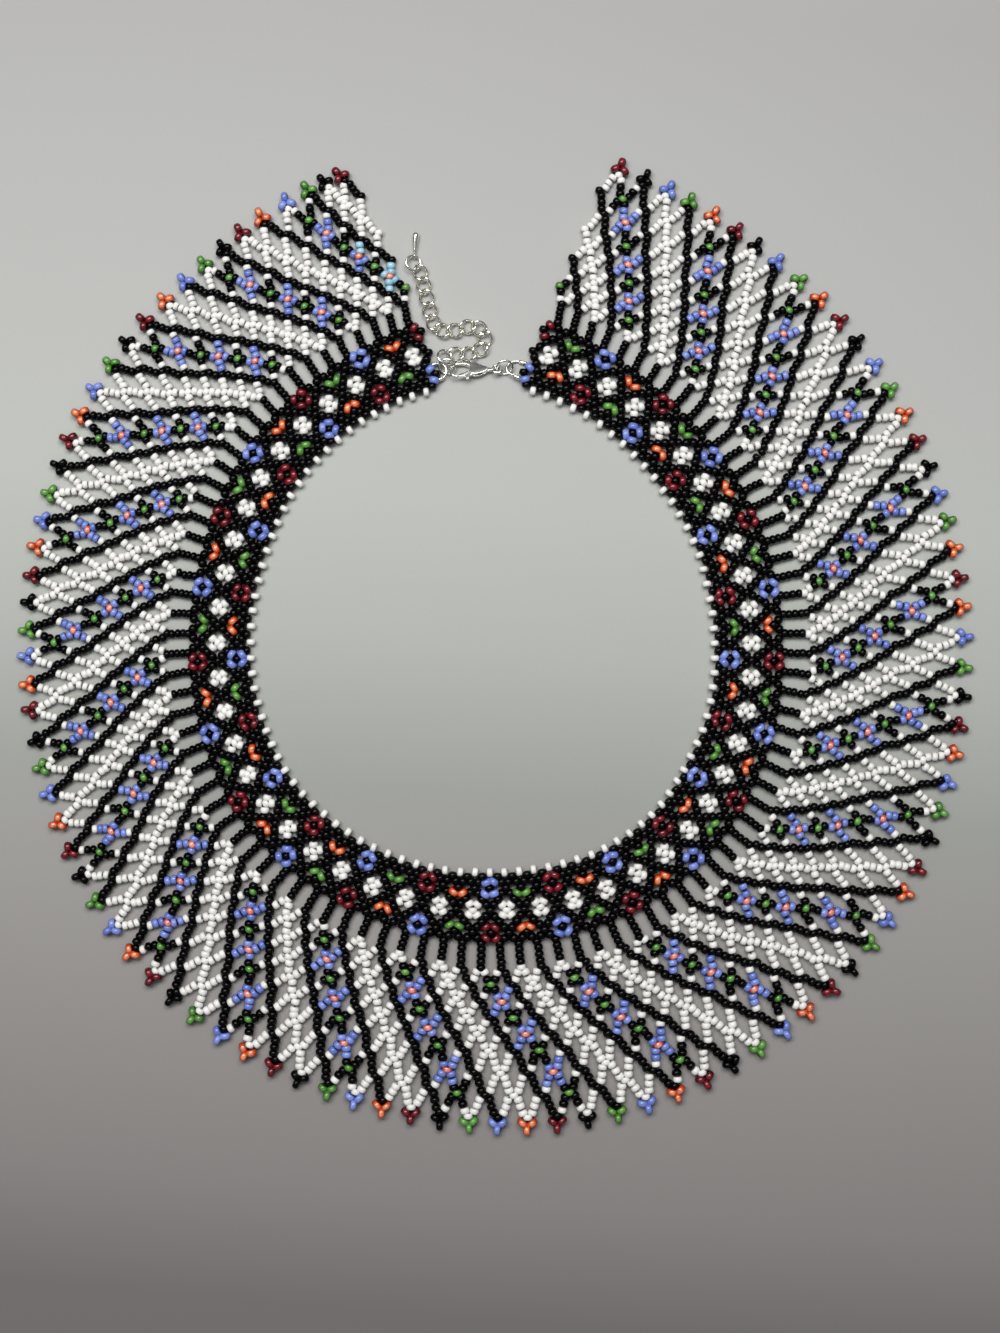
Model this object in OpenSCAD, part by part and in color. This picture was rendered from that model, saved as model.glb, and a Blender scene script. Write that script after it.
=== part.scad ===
/* [Beads] */
// Diameter of one seed bead, which is also the thickness of the collar
bead_d = 2.4; // [2.2:0.05:2.45]
// Gap that parts one line of the net from the next
line_gap = 0.2; // [0.14:0.02:0.3]

/* [Collar] */
// Radius of the neck edge where it is smallest
neck_r = 62.7; // [62.5:0.1:62.9]
// Least width of the woven band
band_w = 18.2; // [18:0.1:18.4]
// Least length of the spokes, from the band to the net
spoke_l = 5.3; // [5:0.1:5.6]
// Least width of the net
net_w = 35.6; // [33:0.1:37]
// Length of the three-bead tip beyond the last row of the net
tip_l = 3.45; // [3.2:0.05:4]

/* [Clasp] */
// Thickness of the claw's hub
hub_t = 1.8; // [1.7:0.02:1.84]
// Length of the eye's and the neck's section through the claw
neck_t = 0.84; // [0.7:0.02:0.86]
// Opening of the gate that is drawn, in degrees from closed
gate_open = 0; // [0:1:20]

/* [Chain] */
// Half length of a link, along the middle of its wire
link_a = 2.4; // [2.38:0.01:2.42]
// Half width of a link, along the middle of its wire
link_b = 1.85; // [1.82:0.01:1.88]
// Radius of the chain's wire
chain_wire = 0.38; // [0.28:0.01:0.38]
// Radius of the jump rings' wire
ring_wire = 0.35; // [0.26:0.01:0.35]

/* [Hidden] */
// Point round which the lines stand. All places are counted from the middle of the collar's outline
HUB = [-2.68, 4.11];
// Ninety-six lines run out from the neck edge, and each ends in a tip four places further round
LINES = 96;
LAST = LINES - 1;
TIP_STEP = 4;
// Beads in each leg of the net, row by row: the mesh grows wider towards the tips
LEG_BEADS = [2, 2, 2, 2, 2, 3, 3, 3];
ROWS = len(LEG_BEADS);
// The course of the collar as it lies. Columns: line, its angle at the neck edge, at its spoke and at its
// tip, counted from the front, then what the neck radius, band, spokes and net have above their least,
// and last the bow of the line half way through the net, in degrees
COURSE = [
    [0, -167.7, -165.9, -162.6, 5.9, 2.1, 0.3, 2.1, 0.47],
    [2, -161.1, -160, -158.2, 5.7, 1.2, 0, 2.7, 0.63],
    [4, -154.5, -153.3, -151.5, 5.2, 0.5, 0.1, 2.1, 0.18],
    [6, -147.7, -146.6, -145.5, 4.8, 0.3, 0.5, 0.8, 0.05],
    [8, -140.7, -139.6, -139.3, 4.4, 0.3, 0.7, 0, 0.04],
    [12, -126.7, -125.6, -125.3, 3.4, 0.4, 0.7, 0.7, 0.15],
    [16, -112.3, -111.6, -111.2, 2.1, 0.4, 0.5, 1.4, -0.12],
    [20, -97.1, -97.2, -97.2, 2.1, 0, 0.6, 1.3, -0.06],
    [24, -81.8, -82.3, -83.5, 3, 0, 0.8, 1.2, -0.05],
    [28, -67.5, -68.1, -69.5, 3.9, 0.5, 0.9, 1.3, -0.22],
    [32, -53.8, -53.8, -55.1, 5, 0.9, 0.9, 2.3, 0.07],
    [36, -39.9, -40, -40.7, 4.9, 1, 1.2, 3.8, -0.01],
    [40, -25.7, -25.9, -26.2, 4.7, 1, 0.8, 5, -0.02],
    [44, -11.4, -11.4, -12.4, 4.3, 1.7, 1, 5.4, -0.03],
    [48, 2.6, 2.6, 1.4, 4.1, 2.4, 1.4, 6.2, 0.16],
    [52, 16.6, 16.2, 15.4, 4.9, 2.5, 1.5, 6.7, -0.01],
    [56, 30.5, 30.2, 29.7, 5.9, 2.3, 1.1, 6.2, -0.02],
    [60, 43.8, 44.3, 43.8, 5.6, 2.4, 1.1, 6, -0.07],
    [64, 57, 57.8, 57.9, 3.8, 2.6, 1.5, 6.4, -0.1],
    [68, 71, 71.8, 71.9, 2.7, 2.1, 1, 6.2, -0.04],
    [72, 85.3, 86.1, 85.8, 0.9, 2.1, 1.4, 5.8, -0.23],
    [76, 100.3, 100.6, 100, 0, 2.1, 1.3, 5.6, -0.22],
    [80, 115.6, 115, 113.9, 0.1, 1.8, 0.8, 5.4, -0.23],
    [84, 130.7, 129.3, 128, 0.4, 1.6, 0.8, 5.2, -0.45],
    [88, 145.8, 143.6, 141.8, 2, 0.7, 0.7, 4.5, -0.53],
    [90, 153.2, 150.6, 148.1, 3.2, 0.8, 0.1, 4.3, -0.52],
    [92, 160.5, 157.6, 154.5, 4.2, 1.3, 0.2, 3.7, -0.55],
    [95, 170.7, 167, 163.8, 5.6, 2.4, 0, 3.3, -0.58],
];
NECK_ANGLE = 1;
SPOKE_ANGLE = 2;
TIP_ANGLE = 3;
NECK = 4;
BAND = 5;
SPOKE = 6;
NET = 7;
BOW = 8;

half = bead_d / 2;
clear = half + line_gap;
strip_t = bead_d - 0.2;
rib_t = bead_d;

// A smooth curve through one column of the course, read at line u
function slope(i, col) =
    let (lo = max(i - 1, 0), hi = min(i + 1, len(COURSE) - 1))
    (COURSE[hi][col] - COURSE[lo][col]) / (COURSE[hi][0] - COURSE[lo][0]);
function span_at(u, i = 0) = i < len(COURSE) - 2 && u >= COURSE[i + 1][0] ? span_at(u, i + 1) : i;
function eased(t, a, b, sa, sb) =
    (2 * t^3 - 3 * t^2 + 1) * a + (t^3 - 2 * t^2 + t) * sa + (3 * t^2 - 2 * t^3) * b + (t^3 - t^2) * sb;
function course(u, col) =
    let (i = span_at(u), a = COURSE[i], b = COURSE[i + 1], h = b[0] - a[0], t = (u - a[0]) / h)
    let (sa = slope(i, col) * h, sb = slope(i + 1, col) * h)
    t < 0 ? a[col] + sa * t : t > 1 ? b[col] + sb * (t - 1) : eased(t, a[col], b[col], sa, sb);

function neck_edge_r(u) = neck_r + course(u, NECK);
function band_edge_r(u) = neck_edge_r(u) + band_w + course(u, BAND);
function net_edge_r(u) = band_edge_r(u) + spoke_l + course(u, SPOKE);
function last_row_r(u) = net_edge_r(u) + net_w + course(u, NET);

function around(angle, r, along = 0) =
    [HUB[0] + r * sin(angle) + along * cos(angle), HUB[1] - r * cos(angle) + along * sin(angle)];
function unit(v) = v / norm(v);
function left_of(v) = [-v[1], v[0]];
function sum(v) = v * [for (n = v) 1];
function reversed(v) = [for (i = [len(v) - 1:-1:0]) v[i]];

// Places in the band: line u, and row 0 at the neck to 6 at the outer side
BAND_ROWS = 6;
edging_h = 1.7;
function in_band(u, row, out = 0, along = 0) =
    let (w = row / BAND_ROWS, r0 = neck_edge_r(u) + edging_h)
    around(course(u, NECK_ANGLE) * (1 - w) + course(u, SPOKE_ANGLE) * w,
        r0 + (band_edge_r(u) - r0) * w + out, along);

// Places in the net: line u, counted straight out, and row 0 to 8
row_steps = [for (n = LEG_BEADS) n + 1];
row_share = [for (j = [0:ROWS]) (j == 0 ? 0 : sum([for (k = [0:j - 1]) row_steps[k]])) / sum(row_steps)];
function share(row) =
    let (j = min(floor(row), ROWS - 1)) row_share[j] + (row_share[j + 1] - row_share[j]) * (row - j);
function in_net(u, row, along = 0) =
    let (f = share(row), sway = course(u, BOW) * sin(180 * min(f, 1)))
    around(course(u, SPOKE_ANGLE) * (1 - f) + course(u, TIP_ANGLE) * f + sway,
        net_edge_r(u) * (1 - f) + last_row_r(u) * f, along);

// Line i steps half a place round at each row of the net. Beside it by so much, at right angles
function on_line(i, row) = in_net(i + row / 2, row);
function beside(i, row, off) =
    let (run = on_line(i, min(row + 0.2, ROWS)) - on_line(i, max(row - 0.2, 0)))
    on_line(i, row) + off * left_of(unit(run));

// The spoke of line i, from a gap outside the band to the head of the net
function spoke_foot(i, off) = around(course(i, SPOKE_ANGLE), band_edge_r(i) + clear, off);
function spoke_head(i, off) = around(course(i, SPOKE_ANGLE), net_edge_r(i) - 0.35, off);

// The nape cuts the net along lines -0.5 and 95.5. Lines that meet this cut start or stop at a lower row
NAPE_LEFT = -0.5;
NAPE_RIGHT = LAST + 0.5;
function first_row(i) = i < 0 ? 2 * (NAPE_LEFT - i) : 0;
function last_row(i) = min(ROWS, 2 * (NAPE_RIGHT - i));
function left_nape(row) = in_net(row % 2 == 0 ? 0 : NAPE_LEFT, row, -half);
function right_nape(row) = in_net(row % 2 == 0 ? LAST : NAPE_RIGHT, row, half);

// The tip: two beads side by side, and one more beyond them
tip_near = 1.7;
// The first tips at the left of the nape lie over to the side, by so many degrees
TIP_LEANS = [30, 22, 10];
function tip_lean(i) = i < -1 ? TIP_LEANS[i + TIP_STEP] : 0;
// Half the distance between the two beads: they stand closer where the tips crowd
function tip_room(i) = i < -TIP_STEP ? 9 : norm(on_line(i + 1, ROWS) - on_line(i, ROWS));
function tip_side(i) = min(1.4, min(tip_room(i - 1), tip_room(i)) / 2 - half - 0.12);
function lobe(c, out, from, to) =
    [for (n = [0:4]) let (a = from + (to - from) * n / 4) c + half * (cos(a) * out + sin(a) * left_of(out))];
function tip(i) =
    let (end = on_line(i, ROWS), way = unit(end - HUB), side = left_of(way), a = tip_lean(i))
    let (out = cos(a) * way + sin(a) * side, across = left_of(out), w = tip_side(i))
    let (near = end + tip_near * out, far = end + tip_l * out)
    concat(
        [end - half * side],
        lobe(near - w * across, out, -140, -50),
        lobe(far, out, -80, 80),
        lobe(near + w * across, out, 50, 140),
        [end + half * side]
    );

// Rows at which the sides of ribs and strips bend
SIDE_ROWS = [1, 2, 4, 6];

// A black rib: spoke, slanting line and tip
function rib_side(i, off) =
    let (first = first_row(i), inner = [for (j = SIDE_ROWS) if (j > first && j < last_row(i)) j])
    [for (j = concat([first], inner)) beside(i, j, off)];
function rib_outline(i) =
    concat(
        i < 0 ? [] : [spoke_foot(i, -half)],
        rib_side(i, -half),
        last_row(i) == ROWS ? tip(i) : [beside(i, last_row(i), -half), beside(i, last_row(i), half)],
        reversed(rib_side(i, half)),
        i < 0 ? [] : [spoke_foot(i, half)]
    );

// A strip fills the net between two ribs, round the line in its middle. Its legs meet in a V at the
// head, on both sides of the spoke, and in another V on both sides of the tip
head_v = 0.52;
tip_v = ROWS - 0.68;
function strip_head(i) =
    i < 0
        ? [in_net(NAPE_LEFT, first_row(i) - 0.3)]
        : [spoke_head(i, half), spoke_foot(i, half), spoke_foot(i, -half), spoke_head(i, -half)];
function strip_left(i) =
    let (rib = i - 1, from = rib < 0 ? first_row(rib) + 0.3 : head_v)
    let (to = min(last_row(i) + 0.8, ROWS - 0.2))
    concat(
        i < 0 ? [left_nape(first_row(i)), left_nape(first_row(i) + 1)] : [],
        [beside(rib, from, clear)],
        [for (j = SIDE_ROWS) if (j > from + 0.3 && j < to - 0.3) beside(rib, j, clear)],
        [beside(rib, to, clear)]
    );
function strip_end(i) =
    last_row(i) == ROWS
        ? concat([in_net(i + TIP_STEP - 0.5, tip_v)], tip(i))
        : concat(
            [in_net(NAPE_RIGHT, last_row(i) + 0.3), right_nape(last_row(i))],
            i == LAST ? [] : [right_nape(last_row(i) - 1)]
        );
function strip_right(i) =
    let (rib = i + 1, from = rib < 1 ? first_row(i) - 0.9 : 0.1)
    let (to = last_row(i) == ROWS ? ROWS - 0.75 : last_row(rib) - 0.35)
    rib > LAST ? [] : concat(
        [beside(rib, to, -clear)],
        [for (j = reversed(SIDE_ROWS)) if (j > from + 0.3 && j < to - 0.3) beside(rib, j, -clear)],
        [beside(rib, max(from, 0.1), -clear)],
        i < 0 ? [] : [in_net(i + 0.5, head_v)]
    );
function strip_outline(i) = concat(strip_left(i), strip_end(i), strip_right(i), strip_head(i));

// The widest diamond of a white strip, just above its tip, is cut through
function diamond(i) =
    [in_net(i + 3.88, 6.58), in_net(i + 4.14, 7), in_net(i + 4, 7.58), in_net(i + 3.72, 7)];

module slab(outline, t) {
    linear_extrude(t) polygon(outline);
}

module pierced_slab(outline, hole, t) {
    all = concat(outline, hole);
    outer = [for (n = [0:len(outline) - 1]) n];
    inner = [for (n = [0:len(hole) - 1]) len(outline) + n];
    linear_extrude(t) polygon(all, [outer, inner]);
}

// Twelve parts of eight lines. The first part also holds the lines that start at the nape
PART_LINES = 8;
function lines_of(part) =
    let (from = part == 1 ? -TIP_STEP : (part - 1) * PART_LINES)
    [for (i = [from:part * PART_LINES - 1]) i];
function kind(i) = (i + 4) % 4;

module black_ribs(part) {
    color("#1a1a1c") for (i = lines_of(part)) if (kind(i) % 2 == 0) slab(rib_outline(i), rib_t);
}

module white_strips(part) {
    color("#eeece6") for (i = lines_of(part)) if (kind(i) == 1) {
        if (i > 0 && last_row(i) == ROWS) pierced_slab(strip_outline(i), diamond(i), strip_t);
        else slab(strip_outline(i), strip_t);
    }
}

module flower_strips(part) {
    color("#6f80cf") for (i = lines_of(part)) if (kind(i) == 3) slab(strip_outline(i), strip_t);
}

// The band: edging beads stand in from it between the lines, and its outer row stands out at each line
edging_l = 1.8;
edging_out = 0.75;
function edging_bead(i) =
    let (u = i + 0.5)
    let (foot = -0.9, shoulder = edging_out - 0.45)
    [for (p = [[-1, foot], [-1, shoulder], [-0.7, edging_out], [0.7, edging_out], [1, shoulder], [1, foot]])
        in_band(u, 0, -edging_h - p[1], p[0] * edging_l / 2)];
function neck_side() =
    [for (i = [0:LAST]) for (p = concat([in_band(i, 0, -0.95)], i < LAST ? edging_bead(i) : [])) p];
function outer_side() =
    [for (i = [LAST:-1:0]) for (p = concat(
        i < LAST ? [in_band(i + 0.5, 5, 0.9)] : [],
        [in_band(i, BAND_ROWS, half, 0.7), in_band(i, BAND_ROWS, half, -0.7)])) p];
// Beads of the two ends at the nape. Columns: row, line at the left end, how far the bead stands out at
// the left end and at the right end
NAPE_BEADS = [
    [0, 0, 0.6, 0.5],
    [0.5, -0.25, 0.1, 0.8],
    [1, -0.5, 0.6, 0.5],
    [2, 0, 0.9, 0.9],
    [3, -0.5, 1, 1],
    [4, 0, 0.9, 0.9],
    [5, -0.5, 1, 1],
];
function left_end() = [for (b = reversed(NAPE_BEADS)) in_band(b[1], b[0], 0, -b[2])];
function right_end() = [for (b = NAPE_BEADS) in_band(LAST - b[1], b[0], 0, b[3])];

module beaded_band() {
    color("#222226") slab(concat(neck_side(), right_end(), outer_side(), left_end()), bead_d);
}

// A round wire along a course of points, as rings of flat sides. Each point has its own radius
function run_at(path, i, closed) =
    let (n = len(path), before = closed ? (i + n - 1) % n : max(i - 1, 0))
    let (after = closed ? (i + 1) % n : min(i + 1, n - 1))
    unit(path[after] - path[before]);
function rim(centre, run, r, sides) =
    let (across = unit(cross(run, [0, 0, 1])), up = cross(across, run))
    [for (k = [0:sides - 1]) let (a = 360 * k / sides) centre + r * (cos(a) * across + sin(a) * up)];
function wall(low, high, sides) =
    [for (k = [0:sides - 1]) let (next = (k + 1) % sides)
        for (f = [[low + k, low + next, high + next], [low + k, high + next, high + k]]) f];
module wire(path, radii, closed, sides) {
    n = len(path);
    end = (n - 1) * sides;
    rims = [for (i = [0:n - 1]) for (p = rim(path[i], run_at(path, i, closed), radii[i], sides)) p];
    walls = [for (i = [0:closed ? n - 1 : n - 2]) for (f = wall(i * sides, (i + 1) % n * sides, sides)) f];
    caps = closed ? [] : [for (k = [1:sides - 2]) for (f = [[0, k + 1, k], [end, end + k, end + k + 1]]) f];
    polyhedron(rims, concat(walls, caps), convexity = 6);
}

// Wire guards: a bent tube whose two legs hold the thread and whose thinner bend hangs in the ring.
// Columns: x, y, how far the bend rises from the legs, radius
guard_wire = 0.3;
guard_tube = 0.55;
LEFT_GUARD = [
    [-17.88, 78.93, 0, guard_tube], [-16.23, 79.28, 0, guard_tube], [-16.21, 79.28, 0, guard_wire],
    [-15.48, 79.37, 0, guard_wire], [-14.63, 78.95, 0.25, guard_wire], [-14.08, 78.35, 0.25, guard_wire],
    [-13.83, 77.75, 0.25, guard_wire], [-13.73, 77.05, 0.25, guard_wire], [-13.83, 76.35, 0.25, guard_wire],
    [-14.18, 75.65, 0.15, guard_wire], [-14.6, 75.2, 0, guard_wire], [-14.62, 75.19, 0, guard_tube],
    [-16.4, 74.5, 0, guard_tube],
];
RIGHT_GUARD = [
    [8.82, 79.15, 0, guard_tube], [6.62, 79.9, 0, guard_tube], [6.6, 79.9, 0, guard_wire],
    [5.62, 79.97, 0.1, guard_wire], [4.42, 79.65, 0.25, guard_wire], [3.22, 78.75, 0.25, guard_wire],
    [2.97, 78.05, 0.25, guard_wire], [3.07, 77.45, 0.25, guard_wire], [3.72, 76.45, 0.25, guard_wire],
    [4.9, 75.96, 0, guard_wire], [4.92, 75.95, 0, guard_tube], [6.86, 74.94, 0, guard_tube],
];
guard_z = 1.2;
guard_y = 77.37;
module wire_guard(table, lean) {
    path = [for (p = table) [p[0], p[1], guard_z + lean * (p[1] - guard_y) + p[2]]];
    color("#d4d4d0") wire(path, [for (p = table) p[3]], false, 8);
}

module wire_guard_left() {
    wire_guard(LEFT_GUARD, -0.07);
}

module wire_guard_right() {
    wire_guard(RIGHT_GUARD, -0.2);
}

// A round ring of wire, leaning about X and then about Y
module ring(centre, r, wire_r, lean_x, lean_y) {
    translate(centre) rotate([0, lean_y, 0]) rotate([lean_x, 0, 0])
        rotate_extrude() translate([r, 0]) circle(wire_r);
}

module jump_ring_left() {
    color("#cfcfca") ring([-13.59, 78.34, 1.66], 2.23, ring_wire, 32.8, -7.5);
}

module jump_ring_right() {
    color("#cfcfca") ring([2.52, 78.05, 1.9], 2.2, ring_wire, 42, 8);
}

module chain_ring() {
    color("#cfcfca") ring([-14.15, 80.96, 2.16], 2.11, ring_wire, -18.8, 25.3);
}

// The claw lies with its gate side raised. Its own places are counted from the middle of the tail eye
CLAW_AT = [0.47, 77.6, 1.75];
claw_lean = 22;
claw_turn = 2;
module at_claw() {
    translate(CLAW_AT) rotate([0, 0, claw_turn]) rotate([-claw_lean, 0, 0]) children();
}

pivot = [-6.3, -0.6];
pin_r = 0.34;
bore_r = 0.42;
gate_t = 0.8;
slot_t = 0.96;
eye_r = 1.2;
HUB_OUTLINE = [
    [-2.6, -0.45], [-4, -1.2], [-5.3, -1.7], [-6.6, -1.75], [-7.4, -1.35], [-7.7, -0.5], [-7.5, 0.5],
    [-7.9, 1.2], [-8.7, 1.45], [-8.7, 2.4], [-6.8, 2.2], [-4.8, 1.45], [-3.4, 0.7], [-2.6, 0.45],
];
NECK_OUTLINE = [[-1, -0.35], [-3, -0.75], [-4, -0.9], [-4, 0.9], [-3, 0.6], [-1, 0.35]];
// The hook, from inside the hub round the front to the stop of the gate. Columns: x, y, radius
HOOK = [
    [-8, 1.85, 0.66], [-9.5, 2.08, 0.56], [-11, 2.05, 0.52], [-11.7, 1.89, 0.49], [-12.3, 1.57, 0.46],
    [-12.75, 1.1, 0.45], [-13, 0.55, 0.44], [-13.08, -0.05, 0.44], [-12.98, -0.65, 0.44],
    [-12.68, -1.17, 0.44], [-12.2, -1.6, 0.44], [-11.7, -1.8, 0.44], [-11.2, -1.88, 0.44],
];
module clasp_body() {
    color("#c9c9c4") at_claw() union() {
        rotate_extrude() translate([eye_r, 0]) circle(neck_t / 2);
        translate([0, 0, -neck_t / 2]) linear_extrude(neck_t) polygon(NECK_OUTLINE);
        difference() {
            translate([0, 0, -hub_t / 2]) linear_extrude(hub_t) polygon(HUB_OUTLINE);
            translate([-9, -3, -slot_t / 2]) cube([4.6, 3.4, slot_t]);
        }
        translate([pivot[0], pivot[1], -hub_t / 2]) cylinder(r = pin_r, h = hub_t);
        wire([for (p = HOOK) [p[0], p[1], 0]], [for (p = HOOK) p[2]], false, 8);
    }
}

// The gate: a root drilled for the pin, a bar that closes on the hook, and a tab for the thumb
GATE_BAR = [
    [-6.4, 0.25], [-7.6, -0.15], [-9.3, -0.85], [-11, -1.4], [-11, -2.15], [-9, -1.95], [-8.85, -2.9],
    [-8, -3], [-7.7, -1.85], [-6.5, -1.45],
];
module clasp_lever() {
    color("#dcdcd8") at_claw() translate(pivot) rotate([0, 0, -gate_open]) translate(-pivot) difference() {
        union() {
            translate([pivot[0], pivot[1], -gate_t / 2]) cylinder(r = 0.85, h = gate_t);
            translate([0, 0, -gate_t / 2]) linear_extrude(gate_t) polygon(GATE_BAR);
        }
        translate([pivot[0], pivot[1], -gate_t]) cylinder(r = bore_r, h = 2 * gate_t);
    }
}

// The chain: curb links, twisted so that each lies nearly flat in its neighbours. The first link hangs
// in the chain ring, a little higher and rolled
link_pitch = 3.65;
link_twist = 52;
link_z = 1.2;
FIRST_LINK = [-11.13, 81.8];
FIRST_LINK_Z = 1.42;
FIRST_LINK_ROLL = 10;
LINK_HEADINGS = [2, 3, 40, 92, 146, 196, 196, 166, 116, 98, 110, 96, 114];
LINK_POINTS = 16;
function heading(a) = [cos(a), sin(a)];
function link_step(k) = link_pitch / 2 * (heading(LINK_HEADINGS[k - 1]) + heading(LINK_HEADINGS[k]));
function link_centre(k) = k == 0 ? FIRST_LINK : link_centre(k - 1) + link_step(k);
module curb_link() {
    path = [for (n = [0:LINK_POINTS - 1])
        let (t = 360 * n / LINK_POINTS, lean = -link_twist * cos(t))
        [link_a * cos(t), link_b * sin(t) * cos(lean), link_b * sin(t) * sin(lean)]];
    wire(path, [for (p = path) chain_wire], true, 6);
}

module extender_chain() {
    color("#d8d6cc") for (k = [0:len(LINK_HEADINGS) - 1]) {
        c = link_centre(k);
        translate([c[0], c[1], k == 0 ? FIRST_LINK_Z : link_z]) rotate([0, 0, LINK_HEADINGS[k]])
            rotate([k == 0 ? FIRST_LINK_ROLL : 0, 0, 0]) curb_link();
    }
}

end_ring_r = 2.1;
END_RING_AT = [-22.99, 107.32, 1.4];
end_ring_turn = 108;
end_ring_lean = 20;
module end_ring() {
    color("#d8d6cc") translate(END_RING_AT) rotate([0, 0, end_ring_turn]) rotate([end_ring_lean, 0, 0])
        rotate_extrude() translate([end_ring_r, 0]) circle(chain_wire);
}

// The drop: a small loop round the end ring's wire, and a solid drop that widens away from it
drop_loop_r = 0.86;
drop_loop_wire = 0.18;
DROP_AT = [-22.68, 109.37, 1.06];
drop_turn = 87;
// Columns: radius, distance from the middle of the loop
DROP_PROFILE = [
    [0, 0.74], [0.3, 0.78], [0.42, 1.5], [0.7, 3.6], [0.93, 5.3], [0.85, 6.1], [0.5, 6.6], [0, 6.75],
];
module end_drop() {
    color("#dedcd4") translate(DROP_AT) rotate([0, 0, drop_turn]) union() {
        rotate([90, 0, 0]) rotate_extrude() translate([drop_loop_r, 0]) circle(drop_loop_wire);
        rotate([0, 90, 0]) rotate_extrude() polygon(DROP_PROFILE);
    }
}

beaded_band();
black_ribs(1);  // black_ribs_01
black_ribs(2);  // black_ribs_02
black_ribs(3);  // black_ribs_03
black_ribs(4);  // black_ribs_04
black_ribs(5);  // black_ribs_05
black_ribs(6);  // black_ribs_06
black_ribs(7);  // black_ribs_07
black_ribs(8);  // black_ribs_08
black_ribs(9);  // black_ribs_09
black_ribs(10);  // black_ribs_10
black_ribs(11);  // black_ribs_11
black_ribs(12);  // black_ribs_12
white_strips(1);  // white_strips_01
white_strips(2);  // white_strips_02
white_strips(3);  // white_strips_03
white_strips(4);  // white_strips_04
white_strips(5);  // white_strips_05
white_strips(6);  // white_strips_06
white_strips(7);  // white_strips_07
white_strips(8);  // white_strips_08
white_strips(9);  // white_strips_09
white_strips(10);  // white_strips_10
white_strips(11);  // white_strips_11
white_strips(12);  // white_strips_12
flower_strips(1);  // flower_strips_01
flower_strips(2);  // flower_strips_02
flower_strips(3);  // flower_strips_03
flower_strips(4);  // flower_strips_04
flower_strips(5);  // flower_strips_05
flower_strips(6);  // flower_strips_06
flower_strips(7);  // flower_strips_07
flower_strips(8);  // flower_strips_08
flower_strips(9);  // flower_strips_09
flower_strips(10);  // flower_strips_10
flower_strips(11);  // flower_strips_11
flower_strips(12);  // flower_strips_12
wire_guard_left();
wire_guard_right();
jump_ring_left();
jump_ring_right();
chain_ring();
clasp_body();
clasp_lever();
extender_chain();
end_ring();
end_drop();
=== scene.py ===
# %% [markdown]
# # A netted collar of seed beads
#
# The collar is woven with a needle and thread from about seven thousand glass beads. It lies flat, so
# every bead rests on the same board, and a line and a row of the net settle its place. The lesson works
# out that layout first, then makes one bead well and lays it seven thousand times.

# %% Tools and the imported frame
import math
import random

import bmesh
import bpy
import numpy as np
from mathutils import Matrix, Vector


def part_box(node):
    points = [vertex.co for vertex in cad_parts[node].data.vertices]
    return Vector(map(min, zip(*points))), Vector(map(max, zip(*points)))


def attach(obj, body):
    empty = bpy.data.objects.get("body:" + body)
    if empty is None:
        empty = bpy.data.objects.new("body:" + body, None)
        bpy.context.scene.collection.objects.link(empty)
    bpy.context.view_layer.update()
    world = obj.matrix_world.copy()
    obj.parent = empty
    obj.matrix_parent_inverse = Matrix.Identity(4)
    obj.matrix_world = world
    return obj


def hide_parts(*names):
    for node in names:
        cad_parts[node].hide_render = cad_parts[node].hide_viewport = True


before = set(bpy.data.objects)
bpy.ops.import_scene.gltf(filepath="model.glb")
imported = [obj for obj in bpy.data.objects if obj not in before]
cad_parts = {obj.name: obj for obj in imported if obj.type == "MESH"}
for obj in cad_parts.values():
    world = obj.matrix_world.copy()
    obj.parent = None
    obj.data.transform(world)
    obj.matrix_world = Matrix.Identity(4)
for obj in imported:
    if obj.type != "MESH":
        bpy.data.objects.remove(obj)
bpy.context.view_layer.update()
MM = 0.001
chance = random.Random(20)

# %% [markdown]
# ## Camera
#
# The photograph looks straight down, with the collar a little above the middle of an upright frame.
# One of its thousand pixels across is 0.28 mm at the height of the beads. A normal lens half a metre
# up keeps the beads at the rim from leaning outwards.

# %% Camera straight above
PIXEL = 0.28 * MM
PIXEL_ROWS = 1333
VIEW_MIDDLE = (1.24 * MM, -5.55 * MM)
BEAD_MIDDLE = 1.1 * MM
LENS = 50.0
SENSOR = 36.0
view_height = PIXEL_ROWS * PIXEL
camera_data = bpy.data.cameras.new("camera")
camera_data.lens = LENS
camera_data.sensor_width = SENSOR
camera_data.clip_start = 0.01
camera_data.clip_end = 20.0
camera = bpy.data.objects.new("camera", camera_data)
bpy.context.scene.collection.objects.link(camera)
camera.location = (*VIEW_MIDDLE, view_height * LENS / SENSOR + BEAD_MIDDLE)
bpy.context.scene.camera = camera
print("camera height:", round(camera.location.z, 4), "m over a view", round(view_height, 4), "m tall")

# %% [markdown]
# ## Writing finishes as sums
#
# A finish is a small sum: a colour, and what makes it vary. Nodes joined one by one hide that sum, so
# one class wraps a socket and turns +, -, * and / into Math nodes. Colours go through Mix nodes,
# because a Math node would turn them grey.

# %% A socket that can be added and multiplied
class Wire:
    """One output in a node tree, for use in sums."""

    def __init__(self, finish, socket):
        self.finish = finish
        self.socket = socket

    def sum(self, operation, first, second):
        return self.finish.node("ShaderNodeMath", {"operation": operation}, {0: first, 1: second})

    def __add__(self, other):
        return self.sum("ADD", self, other)

    __radd__ = __add__

    def __sub__(self, other):
        return self.sum("SUBTRACT", self, other)

    def __rsub__(self, other):
        return self.sum("SUBTRACT", other, self)

    def __mul__(self, other):
        return self.sum("MULTIPLY", self, other)

    __rmul__ = __mul__

    def __truediv__(self, other):
        return self.sum("DIVIDE", self, other)

    def clamped(self):
        return self.finish.node("ShaderNodeClamp", {}, {"Value": self})


# %% [markdown]
# The class below owns a node tree and its one shader. Its `node` method makes every other node: the
# settings first, then a number, a colour or a wire for each socket.

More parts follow.
